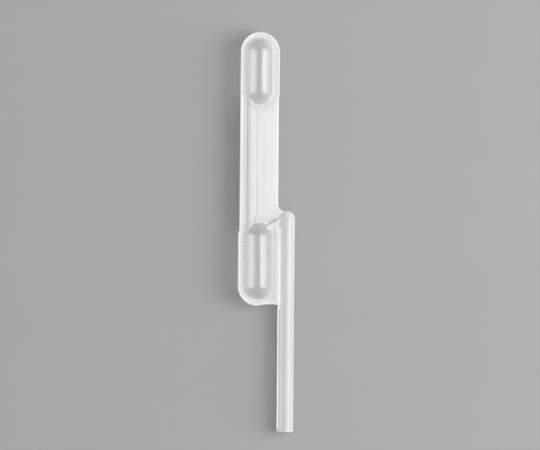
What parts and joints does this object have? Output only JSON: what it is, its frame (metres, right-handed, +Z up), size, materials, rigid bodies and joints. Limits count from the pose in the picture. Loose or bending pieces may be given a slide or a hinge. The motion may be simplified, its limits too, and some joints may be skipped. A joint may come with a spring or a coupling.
{
  "type": "dual bulb volumetric transfer pipette",
  "caption": "Soft plastic fixed-volume transfer pipette: squeeze bulb and overflow bulb in a flat welded web, joined by a raised air channel, with a side stem that draws and delivers.",
  "frame": {"origin": "centre of the stem's open tip", "axes": "+Z up the stem axis from the tip towards the squeeze bulb, +X away from the bulbs on the stem's free side, front face towards -Y"},
  "size_m": [0.0136, 0.0066, 0.095],
  "materials": {
    "web": "milky translucent low-density polyethylene, fine vertical draw lines",
    "bulb": "thin milky translucent low-density polyethylene, soft gloss",
    "channel": "thin milky translucent low-density polyethylene, soft gloss",
    "stem": "milky translucent low-density polyethylene tube, soft gloss, square-cut tip"
  },
  "bodies": {
    "moulding": {"web_front": "web", "web_rear": "web", "squeeze_bulb_front_shoulder": "bulb", "squeeze_bulb_rear_shoulder": "bulb", "overflow_bulb_front_shoulder": "bulb", "overflow_bulb_rear_shoulder": "bulb", "air_channel_front": "channel", "air_channel_rear": "channel", "overflow_duct_front": "channel", "overflow_duct_rear": "channel", "stem_tube": "stem"},
    "squeeze_front_wall": {"squeeze_bulb_front_press_wall": "bulb"},
    "squeeze_rear_wall": {"squeeze_bulb_rear_press_wall": "bulb"},
    "overflow_front_wall": {"overflow_bulb_front_press_wall": "bulb"},
    "overflow_rear_wall": {"overflow_bulb_rear_press_wall": "bulb"}
  },
  "joints": [
    {"name": "squeeze_bulb_press", "type": "slide", "parent": "moulding", "child": "squeeze_front_wall", "axis": [0, 1, 0], "range_m": [0, 0.002], "stiffness_N_per_m": 20},
    {"name": "squeeze_bulb_press_rear", "type": "slide", "parent": "moulding", "child": "squeeze_rear_wall", "axis": [0, -1, 0], "range_m": [0, 0.002], "stiffness_N_per_m": 20},
    {"name": "overflow_bulb_press", "type": "slide", "parent": "moulding", "child": "overflow_front_wall", "axis": [0, 1, 0], "range_m": [0, 0.002], "stiffness_N_per_m": 20},
    {"name": "overflow_bulb_press_rear", "type": "slide", "parent": "moulding", "child": "overflow_rear_wall", "axis": [0, -1, 0], "range_m": [0, 0.002], "stiffness_N_per_m": 20}
  ],
  "couplings": [
    {"joint": "squeeze_bulb_press_rear", "follows": "squeeze_bulb_press", "ratio": 1},
    {"joint": "overflow_bulb_press_rear", "follows": "overflow_bulb_press", "ratio": 1}
  ]
}
